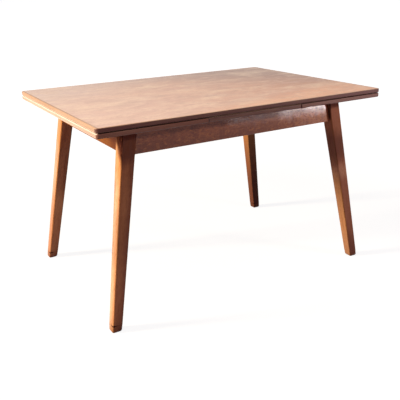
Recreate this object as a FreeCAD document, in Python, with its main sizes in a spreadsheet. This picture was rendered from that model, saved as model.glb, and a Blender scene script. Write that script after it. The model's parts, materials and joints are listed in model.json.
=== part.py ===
import FreeCAD, Part
import os
import Sketcher

# An extending dining table of the draw-leaf kind. Two leaves lie in store under the top board, end
# to end with a fixed centre board, and slide out on long lopers. The legs lean outwards both ways.
# X runs along the table, the front is towards -Y, Z is up and the origin is on the floor below the
# middle of the top. All lengths are in millimetres.

SIZES = {
    # the boards
    "table_height": 750,
    "top_length": 1210,
    "top_width": 850,
    "board_thickness": 16,
    "leaf_thickness": 16,
    "board_gap": 1.8,
    "centre_length": 400,
    "centre_setback": 3,
    "joint_gap": 1.5,
    "lipping_width": 9,
    "lipping_round": 4,
    "corner_round": 12,
    # the legs, which lean out by the splay from the frame's top to the floor. They stand where the
    # end rails leave the stored leaves' stop pegs some room.
    "leg_side_inset": 98.5,
    "stop_room": 21.7,
    "leg_top_width": 54,
    "leg_top_depth": 55,
    "leg_foot_width": 38,
    "leg_foot_depth": 38,
    "leg_splay_x": 115,
    "leg_splay_y": 58,
    "leg_arris": 6,
    "foot_height": 27,
    "foot_taper": 1,
    "foot_bevel": 3,
    # the rails and their joints
    "apron_depth": 98,
    "apron_thickness": 20,
    "apron_setback": 15,
    "end_rail_depth": 87,
    "end_rail_thickness": 22,
    "end_rail_setback": 5.5,
    "rail_arris": 2,
    "tenon_length": 25,
    "tenon_thickness": 10,
    "tenon_shoulder": 12,
    "tenon_play": 0.2,
    "cross_rail_depth": 70,
    "cross_rail_thickness": 22,
    "housing_depth": 6,
    "cleat_gap": 13,
    "cleat_end_inset": 56,
    "cleat_width": 22,
    "cleat_height": 22,
    "block_reach": 62,
    "block_height": 40,
    # the lopers, two to each leaf, set off centre so that the four run side by side
    "loper_width": 26,
    "loper_height": 38,
    "loper_tip": 18,
    "loper_bevel": 24,
    "loper_end_inset": 65,
    "loper_block_gap": 12,
    "loper_spacing": 9,
    "loper_relief": 0.6,
    "loper_tail": 15,
    "slide_play": 0.3,
    "notch_play": 0.5,
    "stop_peg_radius": 6,
    "stop_peg_drop": 12,
    "stop_peg_hold": 20,
    # the pegs that guide the lifting top, and their stop washers
    "lift_height": 20,
    "peg_end_inset": 80,
    "peg_radius": 12.5,
    "peg_play": 0.5,
    "peg_stub_radius": 8,
    "peg_stub_length": 10,
    "washer_radius": 24,
    "washer_thickness": 3,
    # fasteners and felt
    "screw_radius": 2.2,
    "screw_head_radius": 4.2,
    "screw_head_height": 2.4,
    "screw_bite": 11,
    "screw_play": 0.2,
    "loper_screw_margin": 40,
    "loper_counterbore": 10,
    "block_screw_bite": 14,
    "peg_screw_bite": 22,
    "felt_thickness": 1.5,
    "felt_width": 20,
    "felt_side_inset": 145,
    "felt_end_inset": 45,
    "centre_felt_inset": 30,
    # how far a cut runs past the face that it opens
    "overrun": 5,
}

# Levels and places that follow from the sizes. A face's lean is what it moves out per unit of drop.
PLACES = {
    "half_length": "=sizes.top_length / 2",
    "half_width": "=sizes.top_width / 2",
    "centre_half": "=sizes.centre_length / 2",
    "centre_half_width": "=half_width - sizes.centre_setback",
    "frame_top": "=sizes.table_height - sizes.board_thickness - sizes.board_gap"
                 " - sizes.leaf_thickness - sizes.slide_play",
    "centre_upper": "=frame_top + sizes.leaf_thickness",
    "leaf_under": "=frame_top + sizes.slide_play",
    "leaf_upper": "=leaf_under + sizes.leaf_thickness",
    "top_under": "=leaf_upper + sizes.board_gap",
    "leaf_inner": "=centre_half + sizes.joint_gap",
    "leaf_length": "=half_length - leaf_inner",
    "cross_half": "=sizes.cross_rail_thickness / 2",
    "stop_reach": "=leaf_length + cross_half + 2 * sizes.stop_peg_radius + sizes.slide_play",
    "leg_x_out": "=stop_reach + sizes.stop_room + sizes.end_rail_thickness + sizes.end_rail_setback",
    "leg_x_in": "=leg_x_out - sizes.leg_top_width",
    "leg_y_out": "=half_width - sizes.leg_side_inset",
    "leg_y_in": "=leg_y_out - sizes.leg_top_depth",
    "leg_x_out_lean": "=sizes.leg_splay_x / frame_top",
    "leg_x_in_lean": "=(sizes.leg_splay_x + sizes.leg_top_width - sizes.leg_foot_width) / frame_top",
    "leg_y_out_lean": "=sizes.leg_splay_y / frame_top",
    "leg_y_in_lean": "=(sizes.leg_splay_y + sizes.leg_top_depth - sizes.leg_foot_depth) / frame_top",
    "apron_under": "=frame_top - sizes.apron_depth",
    "end_rail_under": "=frame_top - sizes.end_rail_depth",
    "cross_rail_under": "=frame_top - sizes.cross_rail_depth",
    "cleat_under": "=frame_top - sizes.cleat_height",
    "block_under": "=frame_top - sizes.block_height",
    "tenon_upper": "=frame_top - sizes.tenon_shoulder",
    "cleat_start": "=cross_half + sizes.cleat_gap",
    "cleat_length": "=centre_half - sizes.cleat_end_inset - cleat_start",
    "loper_far_y": "=leg_y_in - sizes.block_reach - sizes.loper_block_gap - sizes.loper_width / 2",
    "loper_near_y": "=loper_far_y - sizes.loper_width - sizes.loper_spacing",
    "loper_under": "=leaf_under - sizes.loper_height",
    "notch_floor": "=loper_under - sizes.slide_play",
    "loper_outer": "=half_length - sizes.loper_end_inset",
    "stop_peg_x": "=sizes.stop_peg_radius - stop_reach",
    "loper_inner": "=stop_peg_x - sizes.loper_tail",
    "peg_x": "=centre_half - sizes.peg_end_inset",
    "washer_upper": "=frame_top - sizes.lift_height - sizes.slide_play",
    "washer_under": "=washer_upper - sizes.washer_thickness",
    "felt_half": "=half_width - sizes.felt_side_inset",
}

# Where along its stretch of loper or cleat each screw stands.
LOPER_SCREW_SHARES = (0, 1)
CLEAT_SCREW_SHARES = (0.5,)

HALF_TURN = 180
QUARTER_TURN = 90
UP = FreeCAD.Vector(0, 0, 1)
ORIGIN = FreeCAD.Vector(0, 0, 0)

doc = FreeCAD.newDocument("extending_dining_table")


def fill_sheet(name, rows):
    """A sheet with one named value to a row."""
    sheet = doc.addObject("Spreadsheet::Sheet", name)
    for row, (alias, value) in enumerate(rows.items(), start=1):
        sheet.set(f"A{row}", alias)
        sheet.set(f"B{row}", str(value))
        sheet.setAlias(f"B{row}", alias)
    return sheet


sizes = fill_sheet("sizes", SIZES)
places = fill_sheet("places", PLACES)
doc.recompute()

nodes = {}


def keep(node, piece, turn=0):
    """Names a finished sub-part and stands it in its place, turned about the table's middle."""
    piece.Label = node
    piece.Placement = FreeCAD.Placement(ORIGIN, FreeCAD.Rotation(UP, turn))
    nodes[node] = piece
    return piece


def bind(piece, **expressions):
    """Ties properties to expressions on the sheets."""
    for name, expression in expressions.items():
        piece.setExpression(name, expression)


def bind_spot(piece, holder, spot):
    """Ties a position, in the property `holder`, to three expressions."""
    for letter, expression in zip("xyz", spot):
        piece.setExpression(f"{holder}.Base.{letter}", expression)


def new_body(name):
    body = doc.addObject("PartDesign::Body", name)
    doc.recompute()
    return body


def attach(feature, body, role="XY_Plane"):
    """Lays a feature on one of its own body's origin planes."""
    planes = [plane for plane in body.Origin.OriginFeatures if plane.Role == role]
    feature.AttachmentSupport = [(planes[0], "")]
    feature.MapMode = "FlatFace"


def bind_wedge(wedge, bottom, top, section):
    """Gives a wedge its X and Y limits at two heights. Its own Y axis points up."""
    low_x, high_x, low_y, high_y = section(bottom)
    bind(wedge, Ymin=bottom, Xmin=low_x, Xmax=high_x, Zmin=f"-({high_y})", Zmax=f"-({low_y})")
    low_x, high_x, low_y, high_y = section(top)
    bind(wedge, Ymax=top, X2min=low_x, X2max=high_x, Z2min=f"-({high_y})", Z2max=f"-({low_y})")


STANDING = FreeCAD.Placement(ORIGIN, FreeCAD.Rotation(FreeCAD.Vector(1, 0, 0), QUARTER_TURN))


def leaning_block(name, bottom, top, section):
    """A block between two heights, whose four sides may lean."""
    block = doc.addObject("Part::Wedge", name)
    block.Placement = STANDING
    bind_wedge(block, bottom, top, section)
    return block


def body_wedge(body, kind, name, bottom, top, section):
    """The same as a feature of a body, to add or to subtract."""
    feature = body.newObject(f"PartDesign::{kind}Wedge", name)
    attach(feature, body)
    feature.AttachmentOffset = STANDING
    bind_wedge(feature, bottom, top, section)
    return feature


def fillet(body, name, radius, chosen):
    """Rounds the edges of a body's tip for which `chosen` is true."""
    doc.recompute()
    base = body.Tip
    edges = [f"Edge{number}" for number, edge in enumerate(base.Shape.Edges, 1) if chosen(edge)]
    feature = body.newObject("PartDesign::Fillet", name)
    feature.Base = (base, edges)
    bind(feature, Radius=radius)
    doc.recompute()


def rises(edge):
    """True for an edge that climbs more than it runs, such as a leg's arris."""
    ends = edge.Vertexes[-1].Point - edge.Vertexes[0].Point
    return abs(ends.z) > abs(ends.x) + abs(ends.y)


def lies_at(edge, level):
    """True for an edge that lies flat at a height."""
    box = edge.BoundBox
    return max(abs(box.ZMin - level), abs(box.ZMax - level)) < FLAT_ERROR


def runs(edge, axis):
    """True for a straight edge along an axis, x or y."""
    ends = edge.Vertexes[-1].Point - edge.Vertexes[0].Point
    return abs(getattr(ends, axis)) > FLAT_SHARE * edge.Length


# What still counts as flat: a hundredth of the arris on the rails, and nearly the whole length.
FLAT_ERROR = sizes.rail_arris / 100
FLAT_SHARE = 0.999


def leaning(face, level):
    """Where one of a leg's leaning faces stands at a height."""
    return f"(places.{face} + places.{face}_lean * (places.frame_top - {level}))"


def cut(name, base, tools):
    """A piece with one or more others taken out of it."""
    tool = tools[0]
    if len(tools) > 1:
        tool = doc.addObject("Part::Compound", f"{name}_tools")
        tool.Links = tools
    piece = doc.addObject("Part::Cut", name)
    piece.Base = base
    piece.Tool = tool
    return piece


def common(name, base, tool):
    piece = doc.addObject("Part::Common", name)
    piece.Base = base
    piece.Tool = tool
    return piece


def group(name, members):
    piece = doc.addObject("Part::Compound", name)
    piece.Links = members
    return piece


def mirrored(name, source, normal):
    piece = doc.addObject("Part::Mirroring", name)
    piece.Source = source
    piece.Normal = normal
    return piece


def four_corners(name, source):
    """A piece of the back right corner and its mirror images, by the corner they stand at."""
    across = FreeCAD.Vector(1, 0, 0)
    along = FreeCAD.Vector(0, 1, 0)
    back_left = mirrored(f"{name}_across", source, across)
    return {
        "back_right": source,
        "back_left": back_left,
        "front_right": mirrored(f"{name}_along", source, along),
        "front_left": mirrored(f"{name}_both", back_left, along),
    }


def cylinder(name, radius, length, spot, turn=None):
    """A cylinder whose foot is centred at `spot`, upright unless it is turned."""
    piece = doc.addObject("Part::Cylinder", name)
    if turn:
        piece.Placement = FreeCAD.Placement(ORIGIN, turn)
    bind(piece, Radius=radius, Height=length)
    bind_spot(piece, "Placement", spot)
    return piece


def box(name, low_x, high_x, low_y, high_y, low_z, high_z):
    piece = doc.addObject("Part::Box", name)
    bind(piece, Length=f"{high_x} - ({low_x})", Width=f"{high_y} - ({low_y})",
         Height=f"{high_z} - ({low_z})")
    bind_spot(piece, "Placement", (low_x, low_y, low_z))
    return piece


def screw(name, spot, length, turn=None):
    """A pan-head wood screw. Its head seats at `spot`, with the head below it and the shank above."""
    shank = cylinder(f"{name}_shank", "sizes.screw_radius", length, ("0", "0", "0"))
    head = cylinder(f"{name}_head", "sizes.screw_head_radius", "sizes.screw_head_height",
                    ("0", "0", "-sizes.screw_head_height"))
    piece = doc.addObject("Part::MultiFuse", name)
    piece.Shapes = [shank, head]
    if turn:
        piece.Placement = FreeCAD.Placement(ORIGIN, turn)
    bind_spot(piece, "Placement", spot)
    return piece


def screw_hole(name, spot, length, turn=None):
    """The hole for such a screw, with play all round. It also opens the face that the head seats on."""
    x, y, z = spot
    if turn:
        x, y = (f"{value} - sizes.overrun / sqrt(2)" for value in (x, y))
    else:
        z = f"{z} - sizes.overrun"
    return cylinder(name, "sizes.screw_radius + sizes.screw_play",
                    f"{length} + sizes.screw_play + sizes.overrun", (x, y, z), turn)


# The legs. Each tapers and leans out along and across the table, so its four faces stay flat but
# none of its corners is square to the floor.


def leg_section(level):
    return (leaning("leg_x_in", level), leaning("leg_x_out", level),
            leaning("leg_y_in", level), leaning("leg_y_out", level))


def drawn_in(section, by):
    """A section made smaller all round."""
    low_x, high_x, low_y, high_y = section
    return (f"{low_x} + {by}", f"{high_x} - {by}", f"{low_y} + {by}", f"{high_y} - {by}")


def foot_section(level):
    """The leg's own section at the joint, drawn in by the taper at the floor."""
    return drawn_in(leg_section(level), f"sizes.foot_taper * (1 - {level} / sizes.foot_height)")


def bevel_section(level):
    """A form that grows upwards from the floor, to bevel the foot's lower edges."""
    return drawn_in(foot_section(level), f"(sizes.foot_bevel - {level})")


def apron_face(level):
    """The apron's outer face, parallel to the leg's but set back from it."""
    return f"({leaning('leg_y_out', level)} - sizes.apron_setback)"


def apron_inner(level):
    return f"({apron_face(level)} - sizes.apron_thickness)"


def end_rail_face(level):
    return f"({leaning('leg_x_out', level)} - sizes.end_rail_setback)"


def end_rail_inner(level):
    return f"({end_rail_face(level)} - sizes.end_rail_thickness)"


def apron_section(level):
    reach = leaning("leg_x_in", level)
    return (f"-{reach}", reach, apron_inner(level), apron_face(level))


def apron_tenon_section(level, play="0"):
    """The tenons at both ends of the apron as one bar, half way through its thickness."""
    reach = f"({leaning('leg_x_in', level)} + sizes.tenon_length + {play})"
    middle = f"({apron_face(level)} - sizes.apron_thickness / 2)"
    half = f"(sizes.tenon_thickness / 2 + {play})"
    return (f"-{reach}", reach, f"{middle} - {half}", f"{middle} + {half}")


def end_rail_section(level):
    reach = leaning("leg_y_in", level)
    return (end_rail_inner(level), end_rail_face(level), f"-{reach}", reach)


def end_rail_tenon_section(level, play="0"):
    reach = f"({leaning('leg_y_in', level)} + sizes.tenon_length + {play})"
    middle = f"({end_rail_face(level)} - sizes.end_rail_thickness / 2)"
    half = f"(sizes.tenon_thickness / 2 + {play})"
    return (f"{middle} - {half}", f"{middle} + {half}", f"-{reach}", reach)


def mortise(body, name, rail_under, tenon_section):
    """The pocket for a rail's tenon. It leans with the rail and has play all round."""
    body_wedge(body, "Subtractive", name,
               f"({rail_under} + sizes.tenon_shoulder - sizes.tenon_play)",
               "(places.tenon_upper + sizes.tenon_play)",
               lambda level: tenon_section(level, "sizes.tenon_play"))


def make_legs(screw_holes):
    body = new_body("leg_blank")
    body_wedge(body, "Additive", "leg_taper", "sizes.foot_height", "places.frame_top", leg_section)
    fillet(body, "leg_arrises", "sizes.leg_arris", rises)
    mortise(body, "apron_mortise", "places.apron_under", apron_tenon_section)
    mortise(body, "end_rail_mortise", "places.end_rail_under", end_rail_tenon_section)
    leg = cut("leg_bored", body, screw_holes)
    for corner, piece in four_corners("leg", leg).items():
        keep(f"leg_{corner}", piece)


def make_feet():
    """The block that each leg ends in, drawn in and bevelled where it meets the floor."""
    body = new_body("foot_blank")
    body_wedge(body, "Additive", "foot_taper_block", "0", "sizes.foot_height", foot_section)
    fillet(body, "foot_arrises", "sizes.leg_arris", rises)
    bevels = leaning_block("foot_bevels", "0", "sizes.foot_height", bevel_section)
    foot = common("foot_bevelled", body, bevels)
    for corner, piece in four_corners("foot", foot).items():
        keep(f"foot_{corner}", piece)


# The rails. A tenon on each end enters the leg, with its shoulder cut to the leg's lean.


def cross_rail_section(level, play="0"):
    half = f"(places.cross_half + {play})"
    reach = f"({apron_inner(level)} + sizes.housing_depth + {play})"
    return (f"-{half}", half, f"-{reach}", reach)


def make_apron(node, turn):
    body = new_body(f"{node}_body")
    under = "places.apron_under"
    body_wedge(body, "Additive", f"{node}_board", under, "places.frame_top", apron_section)
    doc.recompute()
    fillet(body, f"{node}_arrises", "sizes.rail_arris",
           lambda edge: lies_at(edge, places.apron_under) and runs(edge, "x"))
    body_wedge(body, "Additive", f"{node}_tenons", f"({under} + sizes.tenon_shoulder)",
               "places.tenon_upper", apron_tenon_section)
    body_wedge(body, "Subtractive", f"{node}_housing", "(places.cross_rail_under - sizes.tenon_play)",
               "(places.frame_top + sizes.overrun)",
               lambda level: cross_rail_section(level, "sizes.tenon_play"))
    keep(node, body, turn)


def cut_notch(body, name, low_x, length, middle_y):
    """An open-topped notch that a loper slides through, with play at its sides and below it."""
    notch = body.newObject("PartDesign::SubtractiveBox", name)
    attach(notch, body)
    half = "(sizes.loper_width / 2 + sizes.notch_play)"
    bind(notch, Length=length, Width=f"2 * {half}",
         Height="places.frame_top + sizes.overrun - places.notch_floor")
    bind_spot(notch, "AttachmentOffset", (low_x, f"{middle_y} - {half}", "places.notch_floor"))


def make_end_rail(node, turn):
    """The right-hand rail, notched for its own leaf's lopers. The left one is the same, turned."""
    body = new_body(f"{node}_body")
    under = "places.end_rail_under"
    body_wedge(body, "Additive", f"{node}_board", under, "places.frame_top", end_rail_section)
    fillet(body, f"{node}_arrises", "sizes.rail_arris",
           lambda edge: lies_at(edge, places.end_rail_under) and runs(edge, "y"))
    body_wedge(body, "Additive", f"{node}_tenons", f"({under} + sizes.tenon_shoulder)",
               "places.tenon_upper", end_rail_tenon_section)
    low_x = f"({end_rail_inner('places.frame_top')} - sizes.overrun)"
    length = f"({end_rail_face('places.notch_floor')} + sizes.overrun - {low_x})"
    cut_notch(body, f"{node}_far_notch", low_x, length, "-places.loper_far_y")
    cut_notch(body, f"{node}_near_notch", low_x, length, "places.loper_near_y")
    keep(node, body, turn)


def make_cross_rail():
    """The middle bearer, with one notch for each of the four lopers."""
    body = new_body("cross_rail_body")
    body_wedge(body, "Additive", "cross_rail_board", "places.cross_rail_under", "places.frame_top",
               cross_rail_section)
    low_x = "-(places.cross_half + sizes.overrun)"
    length = "2 * (places.cross_half + sizes.overrun)"
    lines = ("-places.loper_far_y", "-places.loper_near_y", "places.loper_near_y", "places.loper_far_y")
    for number, middle_y in enumerate(lines, 1):
        cut_notch(body, f"cross_rail_notch_{number}", low_x, length, middle_y)
    keep("cross_rail", body)


def inner_room(level):
    """The room between the four rails at a height."""
    reach_x = end_rail_inner(level)
    reach_y = apron_inner(level)
    return (f"-{reach_x}", reach_x, f"-{reach_y}", reach_y)


def polygon_sketch(body, name, role, points):
    """A closed outline through points that are pairs of expressions."""
    sketch = body.newObject("Sketcher::SketchObject", name)
    attach(sketch, body, role)
    values = [(sizes.evalExpression(first), sizes.evalExpression(second)) for first, second in points]
    corners = [FreeCAD.Vector(first, second, 0) for first, second in values]
    count = len(corners)
    for number, corner in enumerate(corners):
        sketch.addGeometry(Part.LineSegment(corner, corners[(number + 1) % count]), False)
    for number in range(count):
        sketch.addConstraint(Sketcher.Constraint("Coincident", number, 2, (number + 1) % count, 1))
    for number, (point, value) in enumerate(zip(points, values)):
        for kind, expression, start in zip(("DistanceX", "DistanceY"), point, value):
            constraint = sketch.addConstraint(Sketcher.Constraint(kind, -1, 1, number, 1, start))
            sketch.setExpression(f"Constraints[{constraint}]", expression)
    doc.recompute()
    return sketch


def pad(body, name, sketch, length, midplane=False):
    feature = body.newObject("PartDesign::Pad", name)
    feature.Profile = sketch
    feature.Midplane = midplane
    bind(feature, Length=length)
    doc.recompute()
    return feature


def make_corner_blocks():
    """Glued blocks behind the legs. Each fills its corner, fits round the leg and has one screw."""
    diagonal = f"({end_rail_inner('places.frame_top')} + places.leg_y_in - sizes.block_reach)"
    far_x = "places.half_length"
    far_y = "places.half_width"
    body = new_body("corner_block_blank")
    outline = [(f"{diagonal} - {far_y}", far_y), (far_x, f"{diagonal} - {far_x}"), (far_x, far_y)]
    sketch = polygon_sketch(body, "corner_block_outline", "XY_Plane", outline)
    bind_spot(sketch, "AttachmentOffset", ("0", "0", "places.block_under"))
    pad(body, "corner_block_pad", sketch, "sizes.block_height")
    low = "(places.block_under - sizes.overrun)"
    high = "(places.frame_top + sizes.overrun)"
    room = leaning_block("corner_room", low, high, inner_room)
    leg = leaning_block("corner_leg", low, high, leg_section)

    middle_z = "(places.block_under + sizes.block_height / 2)"
    leg_x = leaning("leg_x_in", middle_z)
    leg_y = leaning("leg_y_in", middle_z)
    step = f"(({leg_x} + {leg_y} - {diagonal}) / 2)"
    spot = (f"{leg_x} - {step}", f"{leg_y} - {step}", middle_z)
    length = f"({step} * sqrt(2) + sizes.block_screw_bite)"
    outwards = FreeCAD.Rotation(UP, FreeCAD.Vector(1, 1, 0))
    block_screw = screw("corner_screw", spot, length, outwards)
    hole = screw_hole("corner_screw_hole", spot, length, outwards)

    fitted = common("corner_block_fitted", body, room)
    block = cut("corner_block_bored", fitted, [leg, hole])
    for corner, piece in four_corners("corner_block", block).items():
        keep(f"corner_block_{corner}", piece)
    block_screws = four_corners("corner_screw", block_screw).values()
    keep("corner_block_screws", group("corner_screws", list(block_screws)))
    return [hole]


# The boards. Each is one rounded form, cut into a veneered core and the solid lippings round it.


def board_form(name, low_x, high_x, half_y, low_z, thickness, round_inner_end):
    """A board with rounded corners and edges. A leaf's inner end, which meets the centre board,
    stays square."""
    body = new_body(name)
    slab = body.newObject("PartDesign::AdditiveBox", f"{name}_slab")
    attach(slab, body)
    bind(slab, Length=f"{high_x} - ({low_x})", Width=f"2 * {half_y}", Height=thickness)
    bind_spot(slab, "AttachmentOffset", (low_x, f"-{half_y}", low_z))
    doc.recompute()
    inner_x = slab.Shape.BoundBox.XMin
    fillet(body, f"{name}_corners", "sizes.corner_round",
           lambda edge: rises(edge)
           and (round_inner_end or edge.BoundBox.XMin > inner_x + FLAT_ERROR))
    fillet(body, f"{name}_edges", "sizes.lipping_round",
           lambda edge: not rises(edge)
           and (round_inner_end or edge.BoundBox.XMax > inner_x + FLAT_ERROR))
    return body


def lipping(name, form, turn, edge_y, low_x, high_x, low_z, thickness, mitre):
    """The strip of a board's form along one edge, with mitred ends. It is laid out along the front
    and turned to its side."""
    strip = doc.addObject("Part::Wedge", f"{name}_strip")
    strip.Placement = FreeCAD.Placement(ORIGIN, FreeCAD.Rotation(UP, turn))
    high_z = f"{low_z} + {thickness}"
    bind(strip, Ymin=edge_y, Xmin=low_x, Xmax=high_x, Zmin=low_z, Zmax=high_z)
    bind(strip, Ymax=f"{edge_y} + sizes.lipping_width", X2min=f"{low_x} + {mitre}",
         X2max=f"{high_x} - {mitre}", Z2min=low_z, Z2max=high_z)
    return common(name, form, strip)


def lippings(name, form, low_x, high_x, half_y, low_z, thickness):
    """The four mitred lippings of a board, by side."""
    sides = {
        "front": (0, f"-{half_y}", low_x, high_x),
        "right": (QUARTER_TURN, f"-({high_x})", f"-{half_y}", half_y),
        "back": (HALF_TURN, f"-{half_y}", f"-({high_x})", f"-({low_x})"),
        "left": (-QUARTER_TURN, f"({low_x})", f"-{half_y}", half_y),
    }
    mitre = "sizes.lipping_width"
    return {side: lipping(f"{name}_{side}_lipping", form, *place, low_z, thickness, mitre)
            for side, place in sides.items()}


def core(name, form, low_x, high_x, half_y, low_z, thickness):
    inner_y = f"({half_y} - sizes.lipping_width)"
    inside = box(f"{name}_inside", f"({low_x} + sizes.lipping_width)",
                 f"({high_x} - sizes.lipping_width)",
                 f"-{inner_y}", inner_y, low_z, f"({low_z} + {thickness})")
    return common(name, form, inside)


def make_top():
    """The loose top board, its guide pegs with their stop washers, and the felt under its ends."""
    size = ("-places.half_length", "places.half_length", "places.half_width", "places.top_under",
            "sizes.board_thickness")
    form = board_form("top_form", *size, round_inner_end=True)
    for side, piece in lippings("top", form, *size).items():
        keep(f"top_lipping_{side}", piece)
    stub_hole = cylinder("stub_hole", "sizes.peg_stub_radius + sizes.screw_play",
                         "sizes.peg_stub_length + sizes.screw_play",
                         ("places.peg_x", "0", "places.top_under"))
    across = FreeCAD.Vector(1, 0, 0)
    stub_holes = [stub_hole, mirrored("stub_hole_across", stub_hole, across)]
    keep("top_panel", cut("top_panel_bored", core("top_core", form, *size), stub_holes))

    shaft = cylinder("peg_shaft", "sizes.peg_radius", "places.top_under - places.washer_upper",
                     ("places.peg_x", "0", "places.washer_upper"))
    stub = cylinder("peg_stub", "sizes.peg_stub_radius", "sizes.peg_stub_length",
                    ("places.peg_x", "0", "places.top_under"))
    peg = doc.addObject("Part::MultiFuse", "peg_blank")
    peg.Shapes = [shaft, stub]
    head_spot = ("places.peg_x", "0", "places.washer_under")
    length = "(sizes.washer_thickness + sizes.peg_screw_bite)"
    peg_screw = screw("peg_screw", head_spot, length)
    hole = screw_hole("peg_screw_hole", head_spot, length)
    disc = cylinder("washer_disc", "sizes.washer_radius", "sizes.washer_thickness", head_spot)
    for node, piece in (("guide_peg", cut("peg_bored", peg, [hole])),
                        ("stop_washer", cut("washer_bored", disc, [hole])),
                        ("guide_peg_screw", peg_screw)):
        keep(f"{node}_right", piece)
        keep(f"{node}_left", mirrored(f"{node}_across", piece, across))

    strip = box("end_felt", "(places.half_length - sizes.felt_end_inset - sizes.felt_width)",
                "(places.half_length - sizes.felt_end_inset)", "-places.felt_half", "places.felt_half",
                "(places.top_under - sizes.felt_thickness)", "places.top_under")
    keep("top_felt_strips", group("end_felts", [strip, mirrored("end_felt_across", strip, across)]))


def make_centre_board():
    """The fixed board between the leaves, screwed up from cleats on the aprons."""
    size = ("-places.centre_half", "places.centre_half", "places.centre_half_width",
            "places.frame_top", "sizes.leaf_thickness")
    low_x, high_x, half_y, low_z, thickness = size
    body = new_body("centre_form")
    slab = body.newObject("PartDesign::AdditiveBox", "centre_slab")
    attach(slab, body)
    bind(slab, Length=f"{high_x} - ({low_x})", Width=f"2 * {half_y}", Height=thickness)
    bind_spot(slab, "AttachmentOffset", (low_x, f"-{half_y}", low_z))
    fillet(body, "centre_edges", "sizes.lipping_round", lambda edge: runs(edge, "x"))
    for side, turn in (("front", 0), ("back", HALF_TURN)):
        edge = (turn, f"-{half_y}", low_x, high_x, low_z, thickness, "0")
        keep(f"centre_lipping_{side}", lipping(f"centre_{side}_lipping", body, *edge))

    inner_y = f"({half_y} - sizes.lipping_width)"
    inside = box("centre_inside", low_x, high_x, f"-{inner_y}", inner_y, low_z, "places.centre_upper")
    across = FreeCAD.Vector(1, 0, 0)
    peg_hole = cylinder("peg_hole", "sizes.peg_radius + sizes.peg_play",
                        f"{thickness} + 2 * sizes.overrun",
                        ("places.peg_x", "0", f"{low_z} - sizes.overrun"))
    tools = [peg_hole, mirrored("peg_hole_across", peg_hole, across)]

    def cleat_section(level):
        return ("places.cleat_start", "places.cleat_start + places.cleat_length",
                f"{apron_inner(level)} - sizes.cleat_width", apron_inner(level))

    cleat = leaning_block("cleat_blank", "places.cleat_under", "places.frame_top", cleat_section)
    length = "(sizes.cleat_height + sizes.screw_bite)"
    screws = []
    holes = []
    for number, share in enumerate(CLEAT_SCREW_SHARES, 1):
        spot = (f"places.cleat_start + {share} * places.cleat_length",
                f"{apron_inner('places.frame_top')} - sizes.cleat_width / 2", "places.cleat_under")
        name = f"cleat_screw_{number}"
        screws += four_corners(name, screw(name, spot, length)).values()
        hole = screw_hole(f"cleat_hole_{number}", spot, length)
        holes.append(hole)
        tools += four_corners(f"cleat_hole_{number}", hole).values()
    bored = cut("cleat_bored", cleat, holes)
    keep("centre_cleats", group("cleats", list(four_corners("cleat", bored).values())))
    keep("centre_cleat_screws", group("cleat_screws", screws))
    keep("centre_board", cut("centre_board_bored", common("centre_core", body, inside), tools))

    felt_outer = "(places.centre_half - sizes.centre_felt_inset)"
    strip = box("centre_felt", f"{felt_outer} - sizes.felt_width", felt_outer,
                "-places.felt_half", "places.felt_half",
                "places.centre_upper", "(places.centre_upper + sizes.felt_thickness)")
    felts = [strip, mirrored("centre_felt_across", strip, across)]
    keep("centre_felt_strips", group("centre_felts", felts))


def make_loper(name, middle_y):
    """One runner: full height under the leaf, a little lower where it runs under the centre board,
    and bevelled below at both ends."""
    body = new_body(f"{name}_body")
    low_top = "(places.leaf_under - sizes.loper_relief)"
    tip = "(places.leaf_under - sizes.loper_tip)"
    outline = [
        ("(places.loper_inner + sizes.loper_bevel)", "places.loper_under"),
        ("(places.loper_outer - sizes.loper_bevel)", "places.loper_under"),
        ("places.loper_outer", tip),
        ("places.loper_outer", "places.leaf_under"),
        ("places.leaf_inner", "places.leaf_under"),
        ("places.leaf_inner", low_top),
        ("places.loper_inner", low_top),
        ("places.loper_inner", tip),
    ]
    sketch = polygon_sketch(body, f"{name}_outline", "XZ_Plane", outline)
    bind_spot(sketch, "AttachmentOffset", ("0", "0", f"-({middle_y})"))
    pad(body, f"{name}_pad", sketch, "sizes.loper_width", midplane=True)
    return body


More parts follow.
